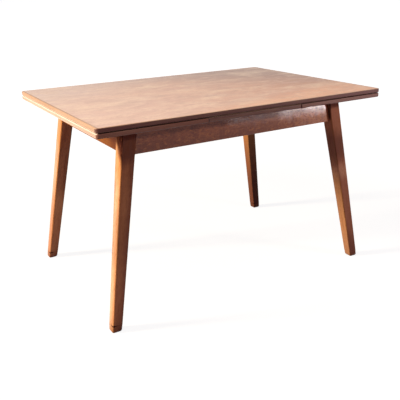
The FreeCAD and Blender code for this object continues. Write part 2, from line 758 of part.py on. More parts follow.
def make_leaf(side, turn):
    """A leaf as it lies at the right, with its lopers. The left leaf is the same one, turned."""
    prefix = f"leaf_{side}"
    front, back, right, left = ("front", "back", "outer", "inner")
    if turn:
        front, back = back, front
    sides = {"front": front, "back": back, "right": right, "left": left}
    size = ("places.leaf_inner", "places.half_length", "places.half_width", "places.leaf_under",
            "sizes.leaf_thickness")
    form = board_form(f"{prefix}_form", *size, round_inner_end=False)
    for place, piece in lippings(prefix, form, *size).items():
        keep(f"{prefix}_lipping_{sides[place]}", piece, turn)

    first_x = "(places.leaf_inner + sizes.loper_screw_margin)"
    last_x = "(places.loper_outer - sizes.loper_screw_margin)"
    head_z = "(places.loper_under + sizes.loper_counterbore)"
    length = "(sizes.loper_height - sizes.loper_counterbore + sizes.screw_bite)"
    screws = []
    panel_holes = []
    pegs = []
    for place, middle_y in ((front, "-places.loper_far_y"), (back, "places.loper_near_y")):
        name = f"{prefix}_loper_{place}"
        holes = []
        counterbores = []
        for number, share in enumerate(LOPER_SCREW_SHARES, 1):
            spot = (f"{first_x} + {share} * ({last_x} - {first_x})", middle_y, head_z)
            screws.append(screw(f"{name}_screw_{number}", spot, length))
            holes.append(screw_hole(f"{name}_hole_{number}", spot, length))
            counterbores.append(cylinder(f"{name}_counterbore_{number}",
                                         "sizes.screw_head_radius + sizes.screw_play",
                                         "sizes.loper_counterbore + sizes.overrun",
                                         (spot[0], middle_y, "places.loper_under - sizes.overrun")))
        panel_holes += holes
        peg_spot = ("places.stop_peg_x", middle_y, "places.loper_under - sizes.stop_peg_drop")
        pegs.append(cylinder(f"{name}_peg", "sizes.stop_peg_radius",
                             "sizes.stop_peg_drop + sizes.stop_peg_hold", peg_spot))
        peg_hole = cylinder(f"{name}_peg_hole", "sizes.stop_peg_radius + sizes.screw_play",
                            "sizes.stop_peg_drop + sizes.stop_peg_hold + sizes.screw_play", peg_spot)
        tools = holes + counterbores + [peg_hole]
        keep(name, cut(f"{name}_bored", make_loper(name, middle_y), tools), turn)
    panel = cut(f"{prefix}_panel_bored", core(f"{prefix}_core", form, *size), panel_holes)
    keep(f"{prefix}_panel", panel, turn)
    keep(f"{prefix}_loper_screws", group(f"{prefix}_screws", screws), turn)
    keep(f"{prefix}_stop_pegs", group(f"{prefix}_pegs", pegs), turn)


corner_holes = make_corner_blocks()
make_legs(corner_holes)
make_feet()
make_apron("apron_back", 0)
make_apron("apron_front", HALF_TURN)
make_end_rail("end_rail_right", 0)
make_end_rail("end_rail_left", HALF_TURN)
make_cross_rail()
make_centre_board()
make_top()
make_leaf("right", 0)
make_leaf("left", HALF_TURN)
doc.recompute()

faults = [f"{piece.Name}: {piece.State}" for piece in doc.Objects
          if "Invalid" in piece.State or "Error" in piece.State]
faults += [f"{node}: no valid shape" for node, piece in nodes.items()
           if piece.Shape.isNull() or not piece.Shape.isValid() or not piece.Shape.Solids]
if faults:
    raise RuntimeError("; ".join(faults))

os.makedirs("parts", exist_ok=True)
for node, piece in nodes.items():
    piece.Shape.exportStep(f"parts/{node}.step")
    size = piece.Shape.BoundBox
    extent = f"{size.XLength:.1f} x {size.YLength:.1f} x {size.ZLength:.1f}"
    print(f"{node}: {len(piece.Shape.Solids)} solid, {extent}")
print(f"{len(nodes)} nodes")
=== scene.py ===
# %% [markdown]
# An extending dining table of the draw-leaf kind, dressed in Blender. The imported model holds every
# board, leg, rail and loper at its real size, and this lesson gives them their finish: stained beech
# legs and rails, pale veneered boards with solid lippings, plain inner woods, steel and felt. Two
# kinds of piece that the model keeps plain are modelled again here, the foot blocks and the screws.

import json
import math

import bmesh
import bpy
from mathutils import Euler, Matrix, Vector


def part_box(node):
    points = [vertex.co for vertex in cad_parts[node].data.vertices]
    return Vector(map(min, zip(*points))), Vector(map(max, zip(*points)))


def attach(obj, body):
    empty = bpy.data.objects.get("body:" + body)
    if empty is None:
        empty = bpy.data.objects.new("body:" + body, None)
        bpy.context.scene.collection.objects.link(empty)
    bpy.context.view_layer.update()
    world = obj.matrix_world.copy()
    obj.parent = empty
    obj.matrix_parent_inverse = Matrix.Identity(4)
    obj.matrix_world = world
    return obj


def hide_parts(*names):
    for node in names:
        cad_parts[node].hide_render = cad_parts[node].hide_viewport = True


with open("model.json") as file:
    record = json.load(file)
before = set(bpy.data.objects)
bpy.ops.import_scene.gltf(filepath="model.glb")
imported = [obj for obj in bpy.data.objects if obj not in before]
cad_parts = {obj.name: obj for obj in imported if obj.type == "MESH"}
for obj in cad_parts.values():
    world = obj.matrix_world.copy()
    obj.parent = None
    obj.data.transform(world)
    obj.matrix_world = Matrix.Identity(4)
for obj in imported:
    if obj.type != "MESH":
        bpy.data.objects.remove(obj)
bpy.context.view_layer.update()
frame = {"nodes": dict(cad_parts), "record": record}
nodes = frame["nodes"]


# %% [markdown]
# Everything is in metres, with X along the table, the front towards -Y and the floor at zero. Small
# sizes are easier to read in millimetres, so one value turns them into metres. Colours are written as
# sRGB hex, the way a paint chart gives them, and one function turns them into the linear values that
# a shader works with.

# %% Units and colours
MM = 0.001
ALONG, ACROSS, UP = (1, 0, 0), (0, 1, 0), (0, 0, 1)


def colour(code):
    """An sRGB hex colour as linear values."""
    def linear(value):
        return value / 12.92 if value <= 0.04045 else ((value + 0.055) / 1.055) ** 2.4
    channels = [int(code[start:start + 2], 16) / 255 for start in (0, 2, 4)]
    return (*(linear(channel) for channel in channels), 1.0)


def deselect():
    """Leaves nothing selected, so that an operator acts only on what is chosen next."""
    for thing in bpy.context.selected_objects:
        thing.select_set(False)


def choose(*things):
    """Selects these objects alone. The first is the active one."""
    deselect()
    for thing in things:
        thing.select_set(True)
    bpy.context.view_layer.objects.active = things[0]


deselect()
print("a middle brown in linear values:", [round(value, 3) for value in colour("8a5a3c")])

# %% [markdown]
# The camera comes first, because every comparison is made through it. Its place was found by fitting
# a pinhole camera to the table's own edges, so it is written as a place, a heading, a tilt and a
# small roll, with the focal length in pixels of a 400 pixel frame.

# %% Camera
FRAME_PIXELS = 400
SENSOR_WIDTH = 36.0
FOCAL_PIXELS = 581.7
CAMERA_PLACE = Vector((-1.2154, -2.0675, 1.1475))
HEADING, TILT, ROLL = 0.5334, -0.3518, -0.0210

camera_data = bpy.data.cameras.new("camera")
camera_data.sensor_width = SENSOR_WIDTH
camera_data.lens = FOCAL_PIXELS / FRAME_PIXELS * SENSOR_WIDTH
camera = bpy.data.objects.new("camera", camera_data)
bpy.context.scene.collection.objects.link(camera)
level_camera = Euler((math.pi / 2 + TILT, 0, -HEADING), "XYZ").to_matrix()
camera.matrix_world = Matrix.Translation(CAMERA_PLACE) @ (
    level_camera @ Matrix.Rotation(ROLL, 3, "Z")).to_4x4()
bpy.context.scene.camera = camera
bpy.context.scene.view_settings.view_transform = "Standard"
print("lens:", round(camera_data.lens, 2), "mm")

# %% [markdown]
# Materials are built from nodes. One small function adds a node, sets its options and fills its
# inputs. A plain value is written on the socket. An output, or another node, is linked to it. Some
# nodes hide the sockets that their options don't use, so only those in use are looked at.

# %% A function that adds a node


def add(tree, kind, inputs=None, **options):
    """A new shader node. `inputs` goes by socket name or number, `options` by property."""
    made = tree.nodes.new("ShaderNode" + kind)
    for name, value in options.items():
        setattr(made, name, value)
    sockets = [socket for socket in made.inputs if socket.enabled]
    by_name = {socket.name: socket for socket in reversed(sockets)}
    for name, value in (inputs or {}).items():
        socket = sockets[name] if isinstance(name, int) else by_name[name]
        if isinstance(value, bpy.types.Node):
            value = next(output for output in value.outputs if output.enabled)
        if isinstance(value, bpy.types.NodeSocket):
            tree.links.new(value, socket)
        else:
            socket.default_value = value
    return made


def new_material(name):
    """An empty material and its node tree."""
    material = bpy.data.materials.new(name)
    material.use_nodes = True
    material.node_tree.nodes.clear()
    return material, material.node_tree


print("helpers for materials:", add.__name__, new_material.__name__)

# %% [markdown]
# Wood is the whole look of this table. What shows on it is of two sorts. Rings, fibres and pores lie
# along the grain, so they are waves and noise that are stretched that way, with a length and a width
# in millimetres. Wear, fading and grime lie where light, hands and polish went, whatever the grain
# does, and so do the light and shade that are painted into it. A painted mask would need a UV map
# for that. A band needs none: it is all that lies near a plane, such as a board's end or a leg's face,
# with an edge that wanders a little.

# %% Patches, bands and slow changes
WANDER_MM = 30
WIDEST_WANDER = 12 * MM


def patches(tree, place, along_mm, across_mm, detail=2.0):
    """Noise whose patches are about this long along the grain and this wide across it."""
    scale = [1 / (length * MM) for length in (along_mm, across_mm, across_mm)]
    stretched = add(tree, "Mapping", {"Vector": place, "Scale": scale})
    return add(tree, "TexNoise", {"Vector": stretched, "Scale": 1.0, "Detail": detail, "Roughness": 0.55})


def band(tree, place, direction, middle, core, reach, depth):
    """A mask that is `depth` within `core` of a plane and gone past `reach`, with an uneven edge.

    The plane lies square to `direction`, at `middle` along it.
    """
    level = add(tree, "VectorMath", {0: place, 1: direction}, operation="DOT_PRODUCT")
    stray = min(WIDEST_WANDER, 0.4 * (reach - core))
    wander = add(tree, "MapRange", {"Value": patches(tree, place, WANDER_MM, WANDER_MM, detail=3.0),
                                    "To Min": -middle - stray, "To Max": stray - middle})
    apart = add(tree, "Math", {0: add(tree, "Math", {0: level, 1: wander})}, operation="ABSOLUTE")
    return add(tree, "MapRange", {"Value": apart, "From Min": reach, "From Max": core, "To Max": depth},
               interpolation_type="SMOOTHSTEP")


def along_table(tree, place, start, stop, low=0.0, high=1.0):
    """A value that goes from `low` at one place along the table to `high` at another."""
    spot = add(tree, "SeparateXYZ", {0: place}).outputs["X"]
    return add(tree, "MapRange", {"Value": spot, "From Min": start, "From Max": stop,
                                  "To Min": low, "To Max": high})


print("masks:", patches.__name__, band.__name__, along_table.__name__)

# %% [markdown]
# The boards' lippings are bare on top and stained dark on their edges. The stain's border follows the
# outline of the board, also round its corners. Every side can be folded onto one quarter of the table,
# because the outline is the same on both sides of the middle. There, the distance from a rectangle
# that is smaller by the corner's radius is the same all along the outline.

# %% Stained edges
EDGE_BLUR = 0.6 * MM
FACE_BLUR = 1 * MM
# Where the edges' painted light starts and where it is full, along the table.
EDGE_LIGHT_FADES = (0.05, 0.6)


def stained_edges(tree, place, fibres, look):
    """Layers for the stain on a board's edges and for painted light that lightens them to the right.

    The stain starts `bare` below the face. Under that it reaches in by `wrap` from the outline.
    """
    half_x, half_y, corner = look["outline"]
    bare, stain_from = look["bare"], look["face_at"] - look["bare"]
    flat = add(tree, "VectorMath", {0: place, 1: (1, 1, 0)}, operation="MULTIPLY")
    folded = add(tree, "VectorMath", {0: flat}, operation="ABSOLUTE")
    past = add(tree, "VectorMath", {0: folded, 1: (half_x - corner, half_y - corner, 0)},
               operation="SUBTRACT")
    outward = add(tree, "VectorMath", {0: past, 1: (0, 0, 0)}, operation="MAXIMUM")
    reach = add(tree, "VectorMath", {0: outward}, operation="LENGTH")
    height = add(tree, "SeparateXYZ", {0: place}).outputs["Z"]
    spread = add(tree, "MapRange", {"Value": height, "From Min": stain_from - FACE_BLUR,
                                    "From Max": stain_from + FACE_BLUR,
                                    "To Min": corner - look["wrap"], "To Max": corner - 0.6 * bare})
    inside = add(tree, "Math", {0: reach, 1: spread}, operation="SUBTRACT")
    streaks = add(tree, "MapRange", {"Value": fibres, "From Min": 0.38, "From Max": 0.66,
                                     "To Min": 1.0, "To Max": 0.8})
    stained = add(tree, "MapRange", {"Value": inside, "From Min": -EDGE_BLUR, "From Max": EDGE_BLUR,
                                     "To Max": streaks})
    # Painted light: the stained edges grow lighter towards the right end.
    painted_light_right = add(tree, "Math", {0: stained, 1: along_table(tree, place, *EDGE_LIGHT_FADES)},
                operation="MULTIPLY")
    return [(stained, "edge"), (painted_light_right, "edge_painted_light")]


# These are where the edges' painted light starts and where it is full.
print("stain fades between", EDGE_LIGHT_FADES, "m along the table")

# %% [markdown]
# Where two pieces meet, glue and dirt leave a thin dark line. It is a band of a millimetre or two. Some
# joints are tight but for one spot, where a chip has opened them, so a line can be strong near one
# point and faint elsewhere. The groove between the top and the leaves gets such a line as well, and
# there it is painted shade.

# %% Joint lines
OPEN_REACH, OPEN_CORE = 20 * MM, 6 * MM


def joint_lines(tree, place, look):
    """A layer for each joint that shows. With `open_at`, it is open near that point only."""
    lines = []
    for where in look["joints"]:
        line = band(tree, place, *where)
        if "open_at" in look:
            away = add(tree, "VectorMath", {0: place, 1: look["open_at"]}, operation="DISTANCE")
            opened = add(tree, "MapRange", {"Value": away, "From Min": OPEN_REACH, "From Max": OPEN_CORE,
                                            "To Min": look["joint_closed"], "To Max": 1.0})
            line = add(tree, "Math", {0: line, 1: opened}, operation="MULTIPLY")
        lines.append((line, "joint"))
    return lines


print("an open joint closes over", round((OPEN_REACH - OPEN_CORE) / MM), "mm")

# %% [markdown]
# One function makes all the wood, so that boards of one wood differ only in where they were cut. It
# reads the piece's own coordinates, turned so that their X axis lies along the grain. Each layer of
# tone is a pair, a mask and the name of a colour, and a loop lays them over each other. Growth rings
# come from a wave in rings, squeezed along the grain until it gives the long flames of a sawn board,
# with its centre off to one side as the pith of the tree is. Veneer is laid in strips, so each strip
# is shifted along the grain by a random length and has a tone of its own. Lacquer is a thin clear
# coat with waves of its own, which break up what it mirrors.

# %% Wood
WAVE_REPEAT = math.pi / 10
RING_SQUEEZE = 0.05
FIBRE_MM = (90, 1.6)
SLOW_MM = (420, 55)
LACQUER_MM = (16, 4)
CUT_APART = (1.7, 0.013, 0.007)
STRIP_SHIFT = 3.0
# The top's painted window light grows from the first place to the second, along the table.
PAINTED_LIGHT_FROM, PAINTED_LIGHT_TO = 0.35, -0.6
SHINE_FADES = (-0.45, 0.5)


def grain_layers(tree, fibre, fibres, look):
    """Layers for the growth rings, the fibres and the pores."""
    pith = look["pith_mm"] * MM
    turned = add(tree, "Mapping", {"Vector": fibre, "Scale": (RING_SQUEEZE, 1, 1),
                                   "Location": (0, pith, pith)})
    rings = add(tree, "TexWave", {"Vector": turned, "Distortion": 4.0, "Detail": 3.0,
                                  "Scale": WAVE_REPEAT / (look["ring_mm"] * MM),
                                  "Detail Scale": 0.1, "Detail Roughness": 0.6},
                wave_type="RINGS", rings_direction="X").outputs["Fac"]
    late = add(tree, "MapRange", {"Value": rings, "To Max": look["ring_depth"]})
    drawn = add(tree, "MapRange", {"Value": fibres, "From Min": 0.42, "From Max": 0.72,
                                   "To Max": look["fleck_depth"]})
    flecks = patches(tree, fibre, look["fleck_mm"] * 6, look["fleck_mm"])
    pores = add(tree, "MapRange", {"Value": flecks, "From Min": 0.58, "From Max": 0.7,
                                   "To Max": look["fleck_depth"]})
    return [(late, "late"), (drawn, "late"), (pores, "pore")]


def wood(name, look, grain, seed):
    """A wood finish. `grain` is the direction of its fibres, `seed` says where it was cut."""
    material, tree = new_material(name)
    turn = Vector(grain).rotation_difference(Vector(ALONG)).to_euler()
    cut_from = [seed * step for step in CUT_APART]
    place = add(tree, "TexCoord").outputs["Object"]
    fibre = add(tree, "Mapping", {"Vector": place, "Rotation": turn, "Location": cut_from})
    layers = []
    if "strip_mm" in look:
        across = add(tree, "SeparateXYZ", {0: fibre}).outputs["Y"]
        strip = add(tree, "Math", {0: across, 1: look["strip_mm"] * MM}, operation="SNAP")
        luck = add(tree, "TexWhiteNoise", {"W": strip}, noise_dimensions="1D")
        fibre = add(tree, "VectorMath", {0: luck, 1: (STRIP_SHIFT, 0, 0), 2: fibre},
                    operation="MULTIPLY_ADD")
        layers.append((add(tree, "MapRange", {"Value": luck, "To Max": look["strip_depth"]}), "dark"))

    fibres = patches(tree, fibre, *FIBRE_MM)
    layers += grain_layers(tree, fibre, fibres, look)
    pores = layers[-1][0]
    # A top can be painted paler towards its left end, as painted light from the window.
    if "painted_window_light" in look:
        layers.append((along_table(tree, place, PAINTED_LIGHT_FROM, PAINTED_LIGHT_TO, high=0.5), "painted_window_light"))
    for shade, *where in look.get("tones", ()):
        layers.append((band(tree, place, *where), shade))
    for shade, along_mm, across_mm, depth in look.get("clouds", ()):
        cloud = patches(tree, fibre, along_mm, across_mm, detail=4.0)
        layers.append((add(tree, "MapRange", {"Value": cloud, "From Min": 0.5, "From Max": 0.68,
                                              "To Max": depth}), shade))
    if "outline" in look:
        layers += stained_edges(tree, place, fibres, look)
    if "joints" in look:
        layers += joint_lines(tree, place, look)

    slow = patches(tree, fibre, *SLOW_MM, detail=3.0)
    broad = add(tree, "MapRange", {"Value": slow, "From Min": 0.33, "From Max": 0.67})
    tone = add(tree, "Mix", {"Factor": broad, "A": colour(look["dark"]), "B": colour(look["light"])},
               data_type="RGBA")
    for mask, shade in layers:
        tone = add(tree, "Mix", {"Factor": mask, "A": tone, "B": colour(look[shade])}, data_type="RGBA")

    height = add(tree, "Math", {0: fibres, 1: pores}, operation="SUBTRACT")
    relief = add(tree, "Bump", {"Height": height, "Strength": 0.15, "Distance": 0.2 * MM})
    rough = add(tree, "MapRange", {"Value": slow, "To Min": look["rough"] - 0.05,
                                   "To Max": look["rough"] + 0.06})
    shader = add(tree, "BsdfPrincipled", {"Base Color": tone, "Roughness": rough, "IOR": 1.5,
                                          "Specular IOR Level": look["shine"], "Normal": relief})
    if "shine_right" in look:
        shine = along_table(tree, place, *SHINE_FADES, look["shine"], look["shine_right"])
        tree.links.new(shine.outputs[0], shader.inputs["Specular IOR Level"])
    if "lacquer" in look:
        waves = patches(tree, fibre, *LACQUER_MM, detail=4.0)
        film = add(tree, "Bump", {"Height": waves, "Strength": 0.4, "Distance": 0.3 * MM})
        shader.inputs["Coat Weight"].default_value = look["lacquer"]
        shader.inputs["Coat Roughness"].default_value = 0.03
        tree.links.new(film.outputs[0], shader.inputs["Coat Normal"])
    add(tree, "OutputMaterial", {"Surface": shader})
    return material


def dress(node, material):
    """Gives a CAD node its finish."""
    slots = nodes[node].data.materials
    slots.clear()
    slots.append(material)


print("fibres are", FIBRE_MM[0], "mm long and", FIBRE_MM[1], "mm wide")

# %% [markdown]
# A finish is written as a small table, its look. `dark` and `light` are the wood's own two tones, `late`
# and `pore` those of its late wood and its pores, and the `_mm` values are real sizes. `tones` are
# bands, each with the name of its shade, and `clouds` are patches, with their shade, length, width and
# depth. A look can start from another one and change only what differs.

# %% Looks of wood
# Beech, stained brown and wiped with a thin satin lacquer. The stain has sunk deeper into the pores and
# has dried in clouds.
STAINED_BEECH = {"dark": "ad774c", "light": "cf985c", "late": "8f5534", "pore": "562c20",
                 "ring_mm": 5, "ring_depth": 0.35, "pith_mm": 60, "fleck_mm": 1.4, "fleck_depth": 0.35,
                 "clouds": (("late", 120, 16, 0.4), ("late", 14, 4, 0.35), ("pore", 30, 2, 0.15)),
                 "rough": 0.48, "shine": 0.03}
# The same on the wide aprons, under a fuller lacquer that mirrors the window. Curly grain crosses them
# in warm and dark patches. Painted light pales their right ends, and their lower edges are darker.
STAINED_RAIL = {**STAINED_BEECH, "dark": "a46446", "light": "bf7850", "late": "7c4232",
                "pore": "4a221c", "warm": "c8824c", "deep": "5a261c", "painted_right_light": "ee9a64",
                "lacquer": 0.4, "shine": 0.1,
                "clouds": (("late", 40, 180, 0.8), ("warm", 16, 9, 0.6), ("late", 10, 5, 0.7)),
                "tones": (("painted_right_light", ALONG, 0.50, 0.08, 0.45, 0.7),
                          ("deep", UP, 0.60, 0.03, 0.08, 0.3))}
# The end rails are darker than the legs, partly from more of the stain and partly as painted shade
# of the boards above them. Their front ends are darker still, in a slanting painted shadow under the
# leaf.
END_RAIL = {**STAINED_BEECH, "dark": "804a20", "light": "9c642e", "late": "683a18", "deep": "4a1c14",
            "tones": (("deep", (0, -0.5, 0.866), 0.80, 0.10, 0.17, 0.8),)}
# Sliced beech veneer in strips, clear satin lacquer. It is pale, with quiet long stripes.
BEECH_VENEER = {"dark": "cc9c80", "light": "e4bda2", "late": "bb896c", "pore": "9c6a4c",
                "ring_mm": 8, "ring_depth": 0.25, "pith_mm": 160, "fleck_mm": 1.2, "fleck_depth": 0.18,
                "rough": 0.36, "shine": 0.5, "strip_mm": 106, "strip_depth": 0.5}
# The top's own veneer. Its left end is painted paler, as painted light from the window, and its back
# right is painted darker, as painted shade. It is warmer towards the front right and greyer at the
# back left. Polish and cups have left pale and dull clouds on it, and its pores show as a fine
# speckle.
TOP_VENEER = {**BEECH_VENEER, "dark": "c28a68", "light": "dcae8a", "painted_window_light": "e6cfc2",
              "clear": "ecd3b4", "dull": "a8806e", "ripe": "cb8959", "ash": "c4b8b4",
              "painted_back_shade": "7d6660", "glow": "f0b482", "shine_right": 0.24,
              # The first and third bands, darker at the back right, are painted shade.
              "tones": (("dull", (0.45, 0.89, 0), 0.75, 0.25, 0.7, 0.6),
                        ("ripe", (0.8, -0.6, 0), 0.7, 0.1, 0.8, 0.6),
                        ("painted_back_shade", (0.75, 0.66, 0), 0.75, 0.2, 0.72, 0.55),
                        ("glow", (0.3, -0.95, 0), 0.5, 0.08, 0.2, 0.55),
                        ("ash", (-0.45, 0.89, 0), 0.75, 0.25, 0.6, 0.4)),
              "clouds": (("clear", 210, 120, 0.5), ("dull", 170, 90, 0.32), ("clear", 55, 34, 0.3),
                         ("dull", 26, 16, 0.25), ("dull", 9, 5, 0.3), ("clear", 60, 5, 0.2))}
# Solid beech round the boards. It has less colour than the stained legs and shows its flecks.
BEECH_LIPPING = {"dark": "cca484", "light": "e4c6a8", "late": "ae8462", "pore": "8a5e42",
                 "ring_mm": 5, "ring_depth": 0.35, "pith_mm": 80, "fleck_mm": 1.2, "fleck_depth": 0.3,
                 "rough": 0.42, "shine": 0.4}
# Planed beech with no finish, rubbed with wax where it slides. It is matt and pale.
PLAIN_BEECH = {"dark": "c79f76", "light": "dfbd92", "late": "b0855c", "pore": "94694a",
               "ring_mm": 4, "ring_depth": 0.3, "pith_mm": 70, "fleck_mm": 1.2, "fleck_depth": 0.35,
               "rough": 0.6, "shine": 0.25}
# Sawn pine for the glued blocks. Its late wood makes strong amber stripes.
PLAIN_PINE = {"dark": "d2a873", "light": "e6c796", "late": "b27d45", "pore": "9b6b3d",
              "ring_mm": 3.5, "ring_depth": 0.6, "pith_mm": 40, "fleck_mm": 1.0, "fleck_depth": 0.12,
              "rough": 0.65, "shine": 0.25}
print("rings of the legs and of the veneer:", STAINED_BEECH["ring_mm"], BEECH_VENEER["ring_mm"], "mm")

# %% [markdown]
# The four legs lean outwards both ways, and their grain leans with them. The axis of each leg is read
# from its own mesh: the middle of its upper end less the middle of its lower end. Each leg has a look
# of its own. Beside tones of its own, it has the light and shade of where it stands to the window
# painted into it. These tones lie along one of its faces or at a height. A tone on a face is a band
# whose plane is that face: a thin one colours the face alone, and a thick one comes round its arrises
# as well. Each foot block has its leg's look, and the joint above it shows as a dark line with a chip
# at one arris.

# %% Legs


def axis_of(node):
    """The direction from a node's lower end to its upper end."""
    points = [vertex.co for vertex in nodes[node].data.vertices]
    ends = []
    for level in (max(point.z for point in points), min(point.z for point in points)):
        ring = [point for point in points if abs(point.z - level) < 0.5 * MM]
        ends.append(sum(ring, Vector()) / len(ring))
    return (ends[0] - ends[1]).normalized()


FACES = {"front": Vector((0, -1, 0)), "left": Vector((-1, 0, 0)), "right": Vector((1, 0, 0))}


def leg_tone(node, shade, where, *sizes):
    """A tone as a band. `where` is the name of a face of the leg, or else a direction as it is."""
    if where not in FACES:
        return shade, where, *sizes
    toward = FACES[where]
    face = max(nodes[node].data.polygons,
               key=lambda face: face.area * max(0, face.normal.dot(toward)) ** 9)
    return shade, face.normal.copy(), face.center.dot(face.normal), *sizes


SKIN = (0.4 * MM, 1.4 * MM)
ARRIS = (3 * MM, 9 * MM)
BROAD = (4 * MM, 34 * MM)
INNER = (2 * MM, 28 * MM)
# The slant of the boards' painted shadow on the front left leg.
BOARD_SHADOW_SLANT = (0, -0.765, 0.644)
# The plane of the painted shade in the gap beside the front apron.
BESIDE_APRON = (-0.984, 0, -0.08)
LEG_LOOKS = {
    # It stands nearest the window. Its left face is painted pale, as painted window light. It is more
    # orange along its arrises and near its top, and darker and more purple towards its inner side.
    "back_left": {"worn": "caaa98", "amber": "c48240", "plum": "5c2a2a", "honey": "edb37c",
                  "shaded": "a4644a", "deep": "4a1c2c",
                  "tones": (("amber", "left", *ARRIS, 0.6),
                            # Painted window light on the left face.
                            ("worn", "left", *SKIN, 0.8),
                            ("amber", UP, 0.62, 0.05, 0.13, 0.5),
                            ("amber", "front", *BROAD, 0.5),
                            ("plum", "right", *INNER, 0.65),
                            ("honey", "front", *SKIN, 0.7),
                            ("shaded", UP, 0.0, 0.1, 0.42, 0.4),
                            ("deep", UP, 0.0, 0.0, 0.055, 0.5))},
    # It stands in the table's own shade, painted into it as a darker lower part and front face.
    "back_right": {"deep": "23141f", "shaded": "6a2c2c",
                   "tones": (("shaded", UP, 0.0, 0.1, 0.5, 0.6),
                             ("deep", "front", *SKIN, 0.55),
                             ("deep", UP, 0.0, 0.0, 0.6, 0.55))},
    # Its left face is painted pale with window light, as on the back left one. Its upper end under the
    # boards is painted almost black, as the boards' painted shadow.
    "front_left": {"worn": "f0d8c6", "amber": "d08c50", "plum": "5c2a2a", "lit": "c48a6d",
                   "deep": "2c0e14", "shine": 0.0,
                   "tones": (("amber", "left", *ARRIS, 0.7),
                             # Painted window light on the left face.
                             ("worn", "left", *SKIN, 0.45),
                             ("amber", UP, 0.64, 0.06, 0.14, 0.6),
                             ("amber", "front", *BROAD, 0.55),
                             ("plum", "right", *INNER, 0.75),
                             # The boards' painted shadow on the upper end of the leg.
                             ("deep", BOARD_SHADOW_SLANT, 0.74, 0.085, 0.112, 0.97),
                             ("lit", "front", *SKIN, 0.4),
                             ("deep", UP, 0.34, 0.04, 0.14, 0.18),
                             ("deep", UP, 0.0, 0.0, 0.06, 0.42))},
    # Its tone is uneven from the top to the foot, with a rusty cast at the front. A nearly black strip
    # beside the apron is painted shade in the gap there. Its foot joint is tight all round, so its open
    # point is put out of reach.
    "front_right": {"rust": "9c5a26", "shaded": "bc7c70", "deep": "3a1e28", "honey": "eab48c",
                    "gap_shade_black": "1c0c0e", "joint_closed": 0.1, "open_at": (0, 0, 0),
                    "tones": (("rust", "front", *BROAD, 0.4),
                              ("shaded", "front", *SKIN, 0.45),
                              ("deep", UP, 0.51, 0.02, 0.09, 0.55),
                              ("honey", UP, 0.40, 0.01, 0.05, 0.45),
                              ("deep", UP, 0.0, 0.04, 0.17, 0.45),
                              ("honey", "left", *SKIN, 0.3),
                              # Painted shade in the gap between the apron and the leg.
                              ("gap_shade_black", BESIDE_APRON, -0.44, 0.039, 0.044, 0.85))},
}
FOOT_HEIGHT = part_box("foot_front_left")[1].z
FOOT_JOINT = {"joint": "3a1610", "joint_closed": 0.15,
              "joints": ((UP, FOOT_HEIGHT, 1.2 * MM, 3.6 * MM, 0.97),)}
leg_woods = {}
for number, (corner, own) in enumerate(LEG_LOOKS.items(), 1):
    leg = f"leg_{corner}"
    upper_ring = [vertex.co for vertex in nodes[f"foot_{corner}"].data.vertices
                  if abs(vertex.co.z - FOOT_HEIGHT) < 0.5 * MM]
    chip_at = min(upper_ring, key=lambda point: point.x + point.y)
    look = {**STAINED_BEECH, **FOOT_JOINT, "open_at": chip_at, **own}
    look["tones"] = [leg_tone(leg, *tone) for tone in own["tones"]]
    lean = axis_of(leg)
    leg_woods[corner] = wood(f"stained_beech_{leg}", look, lean, number)
    dress(leg, leg_woods[corner])
    dress(f"foot_{corner}", leg_woods[corner])
    print(corner, "leans", [round(value, 3) for value in lean])

# %% [markdown]
# The lippings are mitred strips of solid beech round the veneered boards. Their edges are stained, but
# they don't look alike: the long edges are dark and the ends pale. On the ends, pale bands at the
# groove and along the leaves' lower edge are painted light. A groove runs all round between the top and
# the leaves under it, with a dark line painted in it as painted shade, and the leaves' ends meet the
# centre board in an open joint. Their places are read from the frame. Only the corners' radius and the
# height of the leaves' lower pale band are set here.

# %% Lippings
CORNER_ROUND = 12 * MM
# Used in place of half a board's length, it leaves the board's ends out of the stained outline.
FAR_AWAY = 10.0
board_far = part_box("top_lipping_back")[1]
centre_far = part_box("centre_lipping_back")[1]
leaf_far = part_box("leaf_right_lipping_outer")[1]
LEAF_ENDS_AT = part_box("leaf_right_lipping_inner")[0].x
GROOVE_AT = (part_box("top_lipping_back")[0].z + leaf_far.z) / 2
# About a board's thickness lower, near the leaves' lower edge.
LEAF_LOWER_EDGE_AT = GROOVE_AT - 17 * MM
# A dark line along the groove between the boards, painted shade in the gap.
GROOVE_SHADE_LINE = (UP, GROOVE_AT, 1 * MM, 3 * MM, 0.7)

# The top's edges, stained dark, with painted light that makes them a little lighter to the right.
TOP_STAIN = {**BEECH_LIPPING, "edge": "603833", "edge_painted_light": "7e5650", "shine": 0.15,
             "face_at": board_far.z, "bare": 2 * MM}
# The leaves' edges, a lighter and warmer brown with a little more gloss.
LEAF_STAIN = {**TOP_STAIN, "edge": "7c4c3c", "edge_painted_light": "8c6258", "shine": 0.2,
              "face_at": leaf_far.z, "bare": 2.5 * MM}
# Two pale bands on the ends, at the groove and along the leaf's lower edge. They are painted light,
# where shade would fall.
PAINTED_EDGE_LIGHT = {"painted_edge_light": "ead8ce", "tones": (("painted_edge_light", UP, GROOVE_AT, 2.5 * MM, 5.5 * MM, 0.65),
                                        ("painted_edge_light", UP, LEAF_LOWER_EDGE_AT, 2 * MM, 5 * MM, 0.75))}
# The top's long lippings, with a black line painted in the groove below them, as painted shade.
LONG_LIPPING = {**TOP_STAIN, "wrap": 6 * MM, "outline": (board_far.x, board_far.y, CORNER_ROUND),
                "joint": "1c0c0a", "joints": (GROOVE_SHADE_LINE,)}
# The top's end lippings, of a greyer tan. Only their corners have the dark stain.
END_LIPPING = {**TOP_STAIN, **PAINTED_EDGE_LIGHT, "dark": "a4846a", "light": "bca28c", "wrap": 16 * MM,
               "outline": (FAR_AWAY, board_far.y, 2 * CORNER_ROUND)}
